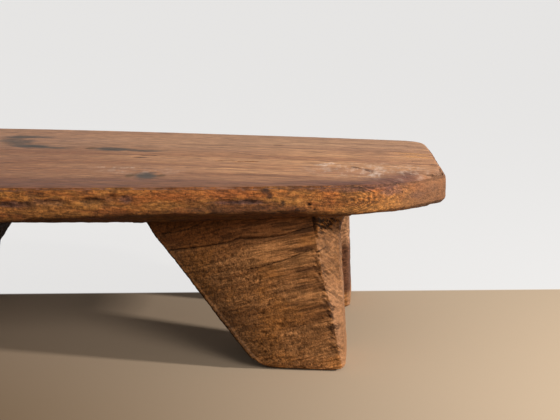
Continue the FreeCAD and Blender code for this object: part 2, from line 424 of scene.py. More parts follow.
class Grain:
    """Smooth noise from about -1 to 1 at points, the same each run for a seed."""

    def __init__(self, seed):
        source = np.random.default_rng(seed)
        self.order = source.permutation(TABLE_SIZE)
        arrows = source.normal(size=(TABLE_SIZE, 3))
        self.arrows = arrows / np.linalg.norm(arrows, axis=1)[:, None]

    def single(self, points):
        """One layer of noise with cells of size 1."""
        cell = np.floor(points).astype(np.int64)
        inside = points - cell
        ease = inside ** 3 * (inside * (inside * 6 - 15) + 10)
        total = np.zeros(len(points))
        for corner in np.ndindex(2, 2, 2):
            corner = np.array(corner)
            index = (cell + corner) % TABLE_SIZE
            first = self.order[index[:, 0]]
            second = self.order[(first + index[:, 1]) % TABLE_SIZE]
            pick = self.order[(second + index[:, 2]) % TABLE_SIZE]
            slope = np.einsum("ij,ij->i", self.arrows[pick], inside - corner)
            weight = np.prod(np.where(corner == 1, ease, 1 - ease), axis=1)
            total += weight * slope
        return total * NOISE_GAIN

    def __call__(self, points, size, layers=1):
        """Noise with cells of a size (one for each axis, in mm), and finer layers over it."""
        scaled = points / np.array(size)
        total = np.zeros(len(points))
        for layer in range(layers):
            total += self.single(scaled * 2 ** layer + LAYER_SHIFT * layer) * 0.5 ** layer
        return total

    def marks(self, points, layers):
        """The depth in mm of marks laid over each other."""
        return sum(depth * (1 + self(points + start, size, 2)) for depth, size, start in layers)


def smooth_step(value, low, high):
    """Eases from 0 to 1 as a value goes from low to high."""
    share = np.clip((value - low) / (high - low), 0, 1)
    return share * share * (3 - 2 * share)


def distance_to_line(points, line):
    """How far 2-D points lie from a line through given points."""
    nearest = np.full(len(points), 1e9)
    for start, end in zip(line[:-1], line[1:]):
        start, end = np.array(start, float), np.array(end, float)
        along = end - start
        share = np.clip((points - start) @ along / (along @ along), 0, 1)
        gap = np.linalg.norm(points - start - share[:, None] * along, axis=1)
        nearest = np.minimum(nearest, gap)
    return nearest


# Meshes

def added(name, data):
    """A new object in the scene."""
    new_object = bpy.data.objects.new(name, data)
    bpy.context.scene.collection.objects.link(new_object)
    return new_object


def remeshed_copy(node, name, voxel):
    """A new piece with the form of a CAD node, made of even small faces."""
    piece = added(name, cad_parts[node].data.copy())
    remesh = piece.modifiers.new("even_faces", "REMESH")
    remesh.mode = "VOXEL"
    remesh.voxel_size = voxel
    apply_modifiers(piece)
    return piece


def apply_modifiers(piece):
    """Turns what the modifiers make into the piece's own mesh."""
    evaluated = piece.evaluated_get(bpy.context.evaluated_depsgraph_get())
    mesh = bpy.data.meshes.new_from_object(evaluated)
    piece.modifiers.clear()
    piece.data = mesh


def points_and_normals(piece):
    """The places of a mesh's points in mm, and its normals."""
    mesh = piece.data
    places = np.zeros(len(mesh.vertices) * 3, np.float32)
    normals = np.zeros(len(mesh.vertices) * 3, np.float32)
    mesh.vertices.foreach_get("co", places)
    mesh.vertex_normals.foreach_get("vector", normals)
    return places.reshape(-1, 3).astype(float) / MM, normals.reshape(-1, 3).astype(float)


def set_points(piece, points):
    """Moves a mesh's points to places in mm."""
    piece.data.vertices.foreach_set("co", (points * MM).astype(np.float32).ravel())
    piece.data.update()


def thin_out(piece):
    """Joins the faces that the form doesn't need."""
    decimate = piece.modifiers.new("fewer_faces", "DECIMATE")
    decimate.ratio = KEEP_SHARE
    apply_modifiers(piece)
    piece.data.shade_smooth()


def dress(piece, material, node):
    """Gives a piece its material, hangs it under the root, and hides the CAD node that it stands for."""
    piece.data.materials.clear()
    piece.data.materials.append(material)
    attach(piece, "root")
    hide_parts(node)


def inside_ellipse(points, middle, radii):
    """1 near the middle of an ellipse in 2-D, easing to 0 on its rim."""
    far = np.hypot(*((points - middle) / radii).T)
    return 1 - smooth_step(far, 0.35, 1.1)


def board_distances(p):
    """How far points lie from the top's rim, from the cut-off corner and from the front edge."""
    half_depths = np.polyval(FRONT_EDGE_FIT, p[:, 0] * MM) / MM
    from_front = p[:, 1] + half_depths
    from_cut = CUT_DISTANCE - p[:, :2] @ np.array(CUT_OUTWARD)
    from_rim = np.minimum.reduce([from_front, half_depths - p[:, 1], from_cut, RIGHT_END_X - p[:, 0]])
    return from_rim, from_cut, from_front


def in_joints(p):
    """Which points of the board lie round a leg's head."""
    inside = np.zeros(len(p), bool)
    for corner in CORNERS:
        low, high = [np.array(end)[:2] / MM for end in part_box("leg_" + corner)]
        inside |= (
            np.all(p[:, :2] > low - JOINT_SIDE_MARGIN, axis=1)
            & np.all(p[:, :2] < high + JOINT_SIDE_MARGIN, axis=1)
        )
    return inside & (p[:, 2] > UNDERSIDE_Z + JOINT_LOW_MARGIN) & (p[:, 2] < TOP_Z - JOINT_HIGH_MARGIN)


def hewn_board():
    """The board with worn arrises, hewn sides, cracks in the top and an adzed underside."""
    piece = remeshed_copy("tabletop_board", "hewn_board", BOARD_VOXEL)
    p, n = points_and_normals(piece)
    grain = Grain(BOARD_SEED)
    up = n[:, 2]
    top = smooth_step(up, 0.6, 0.95)
    under = smooth_step(-up, 0.2, 0.7)
    side = (1 - smooth_step(up, 0.2, 0.75)) * (1 - under)
    worn = smooth_step(up, 0.15, 0.5) * (1 - smooth_step(up, 0.9, 0.999))
    front = smooth_step(-n[:, 1], 0.1, 0.5)
    right_end = smooth_step(p[:, 0], *RIGHT_END_SPAN)
    rear = smooth_step(p[:, 1], *REAR_SPAN)
    from_rim, from_cut, from_front = board_distances(p)

    inward = top * grain.marks(p, TOP_MARKS)
    inward += side * (1 - 0.75 * right_end) * grain.marks(p, SIDE_MARKS)
    depth, size, start = ARRIS_MARKS
    wear = depth * (1 + grain(p + start, size, 3))
    for depth, size, start, layers, low, high in ARRIS_CHIPS:
        wear += depth * smooth_step(grain(p + start, size, layers), low, high)
    inward += worn * wear * (1 - 0.6 * np.maximum(rear, right_end))
    # The rim rolls over, most of all along the cut-off corner
    drop = (RIM_ROLL_DEPTH - REAR_ROLL_LESS * rear) * (1 - from_rim / RIM_ROLL_WIDTH).clip(0, 1) ** 2
    drop += CUT_ROLL_DEPTH * right_end * (1 - from_cut / CUT_ROLL_WIDTH).clip(0, 1) ** 2 * (1 - rear)
    inward += top * drop
    lean = END_LEAN_DEPTH * ((p[:, 2] - END_LEAN_Z) / END_LEAN_HEIGHT).clip(0, 1) ** 2
    inward += side * right_end * (1 - rear) * lean
    inward += worn * (0.7 + 0.6 * right_end) * (1 - 0.8 * rear)
    depth, size, start = UNDER_SCALLOPS
    scallops = depth * np.abs(grain(p + start, size, 2))
    inward += under * (UNDER_LEAST + scallops + grain.marks(p, UNDER_TEARS))
    for line, half_width, depth in TOP_CRACKS:
        gap = distance_to_line(p[:, :2] + 0.5 * grain(p + 970, (7, 7, 7))[:, None], line)
        inward += top * depth * np.exp(-(gap / half_width) ** 2)
    aside = [2.2 * grain(p + 40, (6, 6, 6), 2), 1.4 * grain(p + 60, (6, 6, 4), 2)]
    ragged = p[:, [0, 2]] + np.stack(aside, axis=1)
    for middle, radii, depth in EDGE_GOUGES:
        hollow = inside_ellipse(ragged, middle, radii) * (side + worn).clip(0, 1) * front
        inward += hollow * depth * (0.75 + 0.5 * grain(p + 80, (5, 5, 2.6), 2))

    inward[in_joints(p)] = 0
    moved = p - n * inward[:, None]
    from_arris = np.where(p[:, 0] > CUT_COUNTS_X, from_rim, from_front)
    near_arris = np.exp(-((p[:, 2] - LOWER_ARRIS_Z) / LOWER_ARRIS_REACH) ** 2)
    near_arris *= smooth_step(-from_arris, -LOWER_ARRIS_INNER, -LOWER_ARRIS_OUTER)
    sag = np.interp(p[:, 0], SAG_STATIONS, SAG_HEIGHTS) * (1 + 0.3 * grain(p + 90, (24, 24, 24), 2))
    moved[:, 2] += near_arris * sag
    set_points(piece, moved)
    thin_out(piece)
    return piece


def along_fibres(points, rise):
    """Points with their x along fibres that rise outwards by an angle, seen from the side."""
    sin, cos = math.sin(rise), math.cos(rise)
    along = points[:, 0] * cos + points[:, 2] * sin
    return np.stack([along, points[:, 1], points[:, 2] * cos - points[:, 0] * sin], axis=1)


def cracks_and_knot(grain, q, m, g, t, front):
    """How deep the front right leg's cracks and its torn knot go."""
    wander = 0.6 * grain(g + 500, (9, 9, 9))
    depths = np.zeros(len(q))
    for line, half_width, depth in LEG_CRACKS:
        gap = distance_to_line(q[:, [0, 2]] + wander[:, None], line)
        depths += front * depth * np.exp(-(gap / half_width) ** 2)
    knot = inside_ellipse(q[:, [0, 2]], *LEG_KNOT) * (m[:, 1] < 0)
    least, depth, size = KNOT_TEARS
    return depths + knot * (least + depth * grain(t + 600, size, 2))


def torn_arris_and_facet(grain, q, t, facet):
    """How deep the front legs are torn beside their facet's arris and on the facet."""
    arris_x = np.interp(q[:, 2], ARRIS_HEIGHTS, ARRIS_PLACES)
    beside = np.exp(-((q[:, 0] - arris_x + STRIP_INSET) / STRIP_WIDTH) ** 2)
    beside *= smooth_step(-q[:, 1], *STRIP_FRONT_SPAN)
    beside *= smooth_step(q[:, 2], *STRIP_LOW_SPAN) * (1 - smooth_step(q[:, 2], *STRIP_HIGH_SPAN))
    least, depth, size = ARRIS_TEARS
    tears = beside * (least + depth * smooth_step(grain(t + 700, size, 2), 0.1, 0.8))
    torn_facet = facet * smooth_step(q[:, 2], *FACET_TEARS_SPAN)
    torn_facet *= 1 - smooth_step(q[:, 2], *UNDER_BOARD_SPAN)
    depth, size = FACET_TEARS
    return tears + torn_facet * depth * (1 + grain(t + 800, size, 2))


def hewn_leg(corner):
    """A leg with sawn ripples, pits and fibres, and on the front legs what is torn there."""
    node = "leg_" + corner
    piece = remeshed_copy(node, "hewn_" + node, LEG_VOXEL)
    p, n = points_and_normals(piece)
    grain = Grain(FIRST_LEG_SEED + CORNERS.index(corner))
    # Places and directions as on the front right leg, and the same along and across the fibres
    flips = (-1 if corner.endswith("left") else 1, -1 if corner.startswith("rear") else 1, 1)
    q = p * flips
    m = n * flips
    g = along_fibres(q, LEG_GRAIN_RISE)
    t = along_fibres(q, -TORN_FIBRE_FALL)
    height = q[:, 2]
    front = smooth_step(-m[:, 1], 0.55, 0.85)
    facet = smooth_step(m[:, 0], 0.3, 0.6)
    foot = smooth_step(-m[:, 2], 0.7, 0.98)
    below_board = 1 - smooth_step(height, *UNDER_BOARD_SPAN)
    shown = 1 - smooth_step(height, *IN_BOARD_SPAN) * (1 - smooth_step(-m[:, 1], 0.2, 0.6))

    inward = grain.marks(g, LEG_WAVES) + grain.marks(g, LEG_FIBRES) * (1 - facet * FACET_FIBRES_LESS)
    pits = smooth_step(grain(q + 350, (3.6, 3.6, 3.6), 2), 0.25, 0.8)
    inward += PIT_DEPTH * pits * (1 - smooth_step(q[:, 0] + RASPED_LEAN * height, *RASPED_END))
    phase = g[:, 2] / RIPPLE_SPACING + 0.5 * grain(g + 400, (40, 30, 14))
    low_down = 1 - smooth_step(height, *LOW_RIPPLE_SPAN)
    inward += front * (RIPPLE_DEPTH + LOW_RIPPLE_DEPTH * low_down) * (1 + np.sin(phase * 2 * math.pi))
    if corner == "front_right":
        inward += cracks_and_knot(grain, q, m, g, t, front)
    if corner.startswith("front"):
        inward += torn_arris_and_facet(grain, q, t, facet)

    flare = smooth_step(height, *FLARE_SPAN) * smooth_step(m[:, 0], 0.3, 0.8)
    inward *= shown * (1 - 0.85 * foot)
    inward -= flare * FLARE_OUT * (height < FLARE_END)
    if corner.startswith("front"):
        slope = smooth_step(-m[:, 0], 0.15, 0.5) * below_board
        inward -= slope * np.interp(height, SLOPE_RISE_HEIGHTS, SLOPE_RISES)
    else:
        inward -= REAR_LEG_OUT * smooth_step(m[:, 0], 0.5, 0.9) * below_board
    moved = p - n * inward[:, None]
    near_sole = (1 - smooth_step(height, 0, SOLE_WEAR_HEIGHT)) * smooth_step(-q[:, 1], *SOLE_WEAR_SPAN)
    moved[:, 2] += near_sole * np.interp(q[:, 0], SOLE_STATIONS, SOLE_WEAR)
    moved[:, 2] = np.maximum(moved[:, 2], 0)
    set_points(piece, moved)
    thin_out(piece)
    return piece


# Material graphs

class Wire:
    """An output in a material's graph that can be used in sums."""

    def __init__(self, tree, socket):
        self.tree = tree
        self.socket = socket

    def __add__(self, other):
        return calc("ADD", self, other)

    def __sub__(self, other):
        return calc("SUBTRACT", self, other)

    def __mul__(self, other):
        return calc("MULTIPLY", self, other)

    def inverted(self):
        return calc("SUBTRACT", 1.0, self, tree=self.tree)


def feed(tree, target, value):
    """Gives an input socket a constant or another node's output."""
    if isinstance(value, Wire):
        tree.links.new(value.socket, target)
    else:
        target.default_value = value


def made(tree, kind, inputs, output=0, **settings):
    """An output of a new node that has these inputs and settings."""
    node = tree.nodes.new("ShaderNode" + kind)
    for name, value in settings.items():
        setattr(node, name, value)
    for name, value in inputs.items():
        feed(tree, node.inputs[name], value)
    return Wire(tree, node.outputs[output])


def calc(operation, a, b=0.0, tree=None):
    """A sum of two wires or numbers."""
    tree = tree or (a if isinstance(a, Wire) else b).tree
    return made(tree, "Math", {0: a, 1: b}, operation=operation)


def noise(place, cells, detail=3.0, rough=0.5, shift=(0, 0, 0)):
    """Cloudy noise from 0 to 1 with its middle at 0.5, with cells in a metre along each axis."""
    spot = mapped(place, cells, shift)
    inputs = {"Vector": spot, "Scale": 1.0, "Detail": detail, "Roughness": rough}
    return made(spot.tree, "TexNoise", inputs, "Fac")


def scattered(place, cells):
    """The distance to the nearest of scattered points, and a random number for that point."""
    spot = mapped(place, cells)
    gap = made(spot.tree, "TexVoronoi", {"Vector": spot, "Scale": 1.0}, "Distance")
    colour = Wire(spot.tree, gap.socket.node.outputs["Color"])
    return gap, made(spot.tree, "SeparateColor", {0: colour})


def ramp(value, low, high, to_low=0.0, to_high=1.0):
    """Eases from one number to another as a value goes from low to high."""
    inputs = {"Value": value, "From Min": low, "From Max": high, "To Min": to_low, "To Max": to_high}
    return made(value.tree, "MapRange", inputs, "Result", interpolation_type="SMOOTHSTEP")


def stray(pattern, width):
    """A distance that strays to both sides of 0 with a pattern, within a width in mm."""
    return (pattern - 0.5) * (width * MM)


def over(value, span, to_low=0.0, to_high=1.0):
    """The same as a place goes through a span in mm."""
    return ramp(value, span[0] * MM, span[1] * MM, to_low, to_high)


def mapped(place, scale=(1, 1, 1), shift=(0, 0, 0), turn=(0, 0, 0)):
    """A place after it is scaled, turned and shifted."""
    inputs = {"Vector": place, "Location": shift, "Rotation": turn, "Scale": scale}
    return made(place.tree, "Mapping", inputs)


def around(place, middle, radii, turn=0.0, plane="xz"):
    """How far out a place lies in an ellipse, 1 on its rim. Middle and radii are in mm."""
    if plane == "xy":
        location, scale, rotation = (*middle, 0), (*radii, 1e6), (0, 0, turn)
    else:
        location, scale, rotation = (middle[0], 0, middle[1]), (radii[0], 1e6, radii[1]), (0, turn, 0)
    inputs = {
        "Vector": place, "Rotation": rotation,
        "Location": [v * MM for v in location], "Scale": [v * MM for v in scale],
    }
    inside = made(place.tree, "Mapping", inputs, vector_type="TEXTURE")
    return made(place.tree, "VectorMath", {0: inside}, "Value", operation="LENGTH")


def mix(share, under, over):
    """One colour over another, by a share."""
    node = share.tree.nodes.new("ShaderNodeMix")
    node.data_type = "RGBA"
    feed(share.tree, node.inputs["Factor"], share)
    sockets = [s for s in node.inputs if s.type == "RGBA"]
    for target, value in zip(sockets, (under, over)):
        feed(share.tree, target, value if isinstance(value, Wire) else (*value, 1.0))
    return Wire(share.tree, next(s for s in node.outputs if s.type == "RGBA"))


def times(colour, factor):
    """A colour made lighter or darker by a factor."""
    return made(factor.tree, "VectorMath", {0: colour, "Scale": factor}, operation="SCALE")


def weakened(factor, share):
    """A factor that keeps only a share of its effect."""
    return (factor - 1.0) * share + 1.0


def mottled(colour, pattern, spread, darkest, lightest, share):
    """A colour that follows a pattern between a darker and a lighter factor, by a share."""
    return times(colour, weakened(ramp(pattern, 0.5 - spread, 0.5 + spread, darkest, lightest), share))


def mix_number(share, low, high):
    """One number over another, by a share."""
    return share * (high - low) + low


def line_mask(pattern, half_width):
    """Thin lines where a smooth pattern crosses its middle value."""
    return ramp(calc("ABSOLUTE", pattern - 0.5), half_width * 0.3, half_width).inverted()


def parts_of(vector):
    """The x, y and z of a vector."""
    node = vector.tree.nodes.new("ShaderNodeSeparateXYZ")
    vector.tree.links.new(vector.socket, node.inputs[0])
    return [Wire(vector.tree, s) for s in node.outputs]


def joined(x, y, z):
    """A vector of three wires or numbers."""
    return made(x.tree, "CombineXYZ", {0: x, 1: y, 2: z})


def curved(share, points):
    """A number that follows a share through points, with straight lines between them."""
    curve = share.tree.nodes.new("ShaderNodeFloatCurve")
    curve_points = curve.mapping.curves[0].points
    while len(curve_points) < len(points):
        curve_points.new(0.5, 0.5)
    for curve_point, point in zip(curve_points, points):
        curve_point.location = point
        curve_point.handle_type = "VECTOR"
    curve.mapping.update()
    feed(share.tree, curve.inputs["Value"], share)
    return Wire(share.tree, curve.outputs[0])


def near_line(across, along, line, half_width):
    """1 on a drawn line and 0 off it. The line is points in mm that only go forward."""
    start, end = line[0][0], line[-1][0]
    heights = [point[1] for point in line]
    low, high = min(heights) - 1, max(heights) + 1
    share = calc("DIVIDE", along - start * MM, (end - start) * MM)
    height = curved(share, [((x - start) / (end - start), (y - low) / (high - low)) for x, y in line])
    gap = calc("ABSOLUTE", across - (height * ((high - low) * MM) + low * MM))
    ends = ramp(share, -0.01, 0.03) * ramp(share, 0.97, 1.01).inverted()
    return ramp(gap, half_width * 0.4 * MM, half_width * MM).inverted() * ends


def new_material(name):
    """A material and its graph, with the place on the object and the surface's direction."""
    material = bpy.data.materials.new(name)
    material.use_nodes = True
    tree = material.node_tree
    coordinates = tree.nodes.new("ShaderNodeTexCoord")
    geometry = tree.nodes.new("ShaderNodeNewGeometry")
    place = Wire(tree, coordinates.outputs["Object"])
    direction = parts_of(Wire(tree, geometry.outputs["Normal"]))
    return material, place, direction


def finish_wood(material, colour, roughness, relief, depth, specular):
    """Gives the shader its colour, roughness and gloss, and a relief of a depth in mm."""
    tree = material.node_tree
    shader = tree.nodes["Principled BSDF"]
    feed(tree, shader.inputs["Base Color"], colour)
    feed(tree, shader.inputs["Roughness"], roughness)
    shader.inputs["Specular IOR Level"].default_value = specular
    bump = made(tree, "Bump", {"Strength": 1.0, "Distance": depth * MM, "Height": relief})
    feed(tree, shader.inputs["Normal"], bump)


def half_depth(x):
    """How far the board's long edges stand from its middle line."""
    return x * FRONT_EDGE_FIT[1] + x * x * FRONT_EDGE_FIT[0] + FRONT_EDGE_FIT[2]


def along_stations(x, stations, values):
    """A number that follows x through given stations. Both are in mm."""
    start, end = stations[0], stations[-1]
    top = max(values)
    share = calc("DIVIDE", x - start * MM, (end - start) * MM)
    points = [((station - start) / (end - start), value / top) for station, value in zip(stations, values)]
    return curved(share, points) * (top * MM)


def top_wood(x, cloud, streak, broad, rings):
    """Tan, brown and red wood with thin dark lines of the grain."""
    colour = mix(ramp(streak * 0.5 + broad * 0.5, 0.38, 0.62), TOP_BROWN, TOP_TAN)
    colour = mix(ramp(x * 1.2 + cloud, 0.34, 0.68).inverted() * 0.60, colour, TOP_RED)
    colour = mix(ramp(cloud, 0.46, 0.62) * 0.50, colour, TOP_MAUVE)
    colour = mix(line_mask(rings, 0.010) * ramp(cloud, 0.40, 0.55) * 0.55, colour, TOP_LINE_COLOUR)
    return mix(line_mask(streak, 0.006) * ramp(broad, 0.45, 0.60) * 0.45, colour, TOP_PORE)


def top_rim_and_light(colour, x, y, cloud, streak):
    """The dark band along the top's front edge and the cut-off corner, and the greyed back."""
    edge_in = y + half_depth(x)
    cut_in = (x * CUT_OUTWARD[0] + y * CUT_OUTWARD[1]) * -1.0 + CUT_DISTANCE * MM
    wander = stray(cloud, 60)
    rim_in = calc("MINIMUM", edge_in, cut_in) + wander + stray(streak, 30)
    rim_width = along_stations(x, RIM_STATIONS, RIM_WIDTHS)
    rim = ramp(calc("DIVIDE", rim_in, rim_width), 0.25, 1.0).inverted()
    rim_colour = mix(over(x, (170, 300)), TOP_RIM, TOP_END_RIM)
    rim = rim * over(x, (335, 362), 1.0, 0.3)
    colour = mix(rim * over(x, (150, 300), 0.80, 0.84), colour, rim_colour)
    light = over(y, (40, 130)) * over(x, (-20, 160), 0.30, 0.0) + 1.0
    return mix(over(y, (0, 100)) * 0.30, times(colour, light), TOP_GREYED)


def top_pattern(place, x, y, sway):
    """The rubbed top: tan and brown lines along the board, greyed, stained and scuffed."""
    narrowing = calc("MAXIMUM", x, 0.0)
    bend = narrowing * narrowing * TOP_GRAIN_BEND
    across = y - x * TOP_GRAIN_SLOPE - bend + sway * (TOP_SWAY * MM)
    bent = joined(x, across, 0.0)
    broad = noise(bent, (1.6, 26, 1), 3.0, 0.5)
    streak = noise(bent, (5, 85, 1), 3.0, 0.6)
    fine = noise(bent, (44, 260, 1), 4.0, 0.70)
    cloud = noise(place, (7, 15, 15), 4.0, 0.6)
    rings = noise(bent, (1.8, 34, 1), 2.0, 0.4, shift=(4, 2, 0))
    colour = top_wood(x, cloud, streak, broad, rings)
    colour = top_rim_and_light(colour, x, y, cloud, streak)

    for line, half_width in TOP_LINES:
        drawn = near_line(y + stray(streak, 10), x, line, half_width)
        colour = mix(drawn * ramp(fine, 0.35, 0.55) * 0.75, colour, TOP_LINE_COLOUR)
    ragged = (noise(place, (30, 70, 70), 4.0, 0.70) - 0.5) * 1.9
    for middle, radii, tint, strength, *turn in TOP_STAINS:
        far = around(place, middle, radii, *turn, plane="xy") + ragged
        colour = mix(ramp(far, 0.35, 1.15).inverted() * strength, colour, tint)
    scuff_noise = noise(place, (110, 42, 42), 4.0, 0.72)
    for middle, radii, strength in TOP_SCUFFS:
        far = around(place, middle, radii, plane="xy")
        share = ramp(far, 0.3, 1.15).inverted() * ramp(scuff_noise, 0.44, 0.66) * strength
        colour = mix(share, colour, TOP_SCUFF_COLOUR)
    colour = times(colour, ramp(fine, 0.37, 0.63, 0.72, 1.28))
    for line, half_width, _ in TOP_CRACKS:
        crack = near_line(y, x, line, half_width + 0.5)
        colour = mix(crack * 0.9, colour, TOP_CRACK_COLOUR)
    return colour, streak, fine


def whorl(place, x, patches):
    """Curved fibres round a knot near the cut-off corner: a mask and a light and dark pattern."""
    middle, radii, turn, reach, rings = WHORL
    far = around(place, middle, radii, turn) + (patches - 0.5) * 0.8
    mask = ramp(far, reach * 0.75, reach).inverted() * over(x, (270, 288))
    return mask, calc("SINE", far * (rings * 2 * math.pi)) * 0.5 + 0.5


def raw_pattern(place, x, y, z, sway):
    """The raw sides: orange-brown with rust and ochre patches, dark flecks and wormholes."""
    bent = joined(x, y, z + sway * (EDGE_SWAY * MM) + x * EDGE_GRAIN_RISE)
    streak = noise(bent, (24, 50, 140), 6.0, 0.68)
    patches = noise(place, (16, 22, 42), 4.0, 0.6)
    shadows = noise(place, (26, 30, 60), 4.0, 0.6, shift=(3, 1, 2))
    dabs = noise(bent, (70, 80, 150), 5.0, 0.74, shift=(5, 2, 1))
    crumbs = noise(place, (260, 260, 340), 4.0, 0.9)
    fibres = noise(bent, (105, 240, 520), 2.0, 0.6)
    at_front = over(y, (-20, 0)).inverted()
    colour = mix(ramp(streak, 0.30, 0.70), EDGE_BROWN, EDGE_OCHRE)
    colour = mix(ramp(patches, 0.46, 0.60) * 0.6, colour, EDGE_RUST)
    colour = mix(ramp(shadows, 0.52, 0.66) * 0.5, colour, EDGE_DARK)
    ragged = (dabs - 0.5) * 1.8 + (patches - 0.5) * 1.0
    for middle, radii, tint, strength in EDGE_MARKS:
        far = around(place, middle, radii) + ragged
        colour = mix(ramp(far, 0.35, 1.1).inverted() * at_front * strength, colour, tint)

    calm = over(x, (320, 360), 1.0, 0.45)
    upper = over(z, (176, 186), 0.45, 1.0) * calm
    colour = mix(ramp(dabs, 0.36, 0.45).inverted() * 0.34 * upper, colour, EDGE_DARK)
    colour = mix(ramp(dabs, 0.58, 0.70) * 0.20 * upper, colour, EDGE_PALE)
    colour = mix(over(x, (310, 360)) * 0.85, colour, EDGE_END)
    colour = mottled(colour, crumbs, 0.16, 0.58, 1.46, calm)
    colour = mottled(colour, fibres, 0.12, 0.68, 1.32, calm)
    colour = times(colour, over(z, (183, 192), 1.0, 1.22))
    # Painted shade: the raw sides are painted darker just above the underside, fading out towards the
    # right end
    low_edge_painted_shade = over(z, (171, 181), 0.74, 1.0)
    colour = times(colour, weakened(low_edge_painted_shade, over(x, (210, 260)).inverted()))
    mask, curls = whorl(place, x, patches)
    mask = mask * at_front
    colour = mottled(colour, curls, 0.35, 1.14, 0.62, mask)
    gap, lot = scattered(place, (150, 150, 150))
    hole = ramp(gap + (crumbs - 0.5) * 0.2, 0.06, 0.13).inverted() * ramp(lot, 0.86, 0.87)
    colour = mix(hole, colour, EDGE_HOLE)
    relief = streak * 0.6 + dabs * 0.8 + crumbs * 1.6 + fibres * 0.8 - mask * curls * 0.5 - hole * 2.0
    return colour, dabs + (patches - 0.5) * 1.2, relief


def board_material():
    """The board: its rubbed top and its raw sides, which meet on worn arrises."""
    material, place, direction = new_material("board_wood")
    x, y, z = parts_of(place)
    up = direction[2]
    sway = noise(place, (3, 6, 6), 2.0) - 0.5
    top_colour, streak, fine = top_pattern(place, x, y, sway)
    raw, frayed, raw_relief = raw_pattern(place, x, y, z, sway)
    top = calc("MAXIMUM", ramp(up + (frayed - 0.5) * 0.8, 0.74, 0.94), ramp(up, 0.955, 0.985))
    raw = times(raw, ramp(up, -0.55, -0.25, UNDER_SHADE, 1.0))
    raw = times(raw, ramp(up + (frayed - 0.5) * 0.4, 0.25, 0.62, 1.0, ARRIS_SHADE))
    colour = mix(top, raw, top_colour)
    roughness = mix_number(top, 0.80, 0.52) + (streak - 0.5) * 0.3
    relief = (streak * 0.5 + fine * 0.35) * top + raw_relief * top.inverted()
    finish_wood(material, colour, roughness, relief, BOARD_RELIEF, BOARD_SPECULAR)
    return material


def front_right_marks(colour, own, x, z, facet, streak, cloud, crumbs, fibre):
    """The front right leg's light patches, dark bands, cracks and torn knot."""
    ragged = (streak - 0.5) * 2.4 + (cloud - 0.5) * 1.2
    for middle, radii, strength in LEG_PATCHES:
        far = around(own, middle, radii, -LEG_GRAIN_RISE) + ragged
        colour = mix(ramp(far, 0.2, 1.1).inverted() * strength, colour, LEG_LIGHT)
    for middle, radii, strength in LEG_BANDS:
        far = around(own, middle, radii, -LEG_GRAIN_RISE) + ragged
        colour = mix(ramp(far, 0.2, 1.1).inverted() * facet.inverted() * strength, colour, LEG_DARK)
    for line, half_width, _ in LEG_CRACKS:
        crack = near_line(z + stray(crumbs, 5), x, line, half_width + 0.2)
        colour = mix(crack * ramp(crumbs, 0.35, 0.55, 0.9, 0.5), colour, CRACK_COLOUR)
    far = around(own, *LEG_KNOT) + (fibre - 0.5) * 2.4
    torn_wood = mix(ramp(fibre, 0.46, 0.60), CRACK_COLOUR, LEG_ORANGE)
    colour = mix(ramp(far, 0.5, 1.2).inverted() * 0.92, colour, torn_wood)
    far = around(own, (262, 164), (5, 4.5)) + (fibre - 0.5) * 1.2
    return mix(ramp(far, 0.6, 1.1).inverted(), colour, CRACK_COLOUR)


def torn_strip(colour, x, z, fibre):
    """Dark pits and pale torn fibres beside the front legs' arris."""
    arris = along_stations(z, ARRIS_HEIGHTS, ARRIS_PLACES)
    gap = calc("ABSOLUTE", x - arris + STRIP_INSET * MM)
    beside = over(gap, (2, 10)).inverted() * over(z, (10, 30))
    beside = beside * over(z, STRIP_HIGH_SPAN).inverted()
    pits = beside * ramp(fibre, 0.42, 0.50).inverted()
    colour = mix(pits * over(z, (60, 90), 0.8, 0.45), colour, LEG_FLECK)
    return mix(beside * ramp(fibre, 0.54, 0.62) * 0.5, colour, LEG_FACET)


def rear_right_stain(colour, own, y, z, cloud):
    """The purple stain on the rear right leg, and its pale wood higher up."""
    far = around(own, *REAR_STAIN) + (cloud - 0.5) * 1.2
    stain = ramp(far, 0.75, 1.0).inverted() * over(y, (-128, -118))
    colour = mix(stain * 0.85, colour, LEG_PURPLE)
    return mix(over(z, (78, 98)) * 0.85, colour, REAR_LEG_LIGHT)


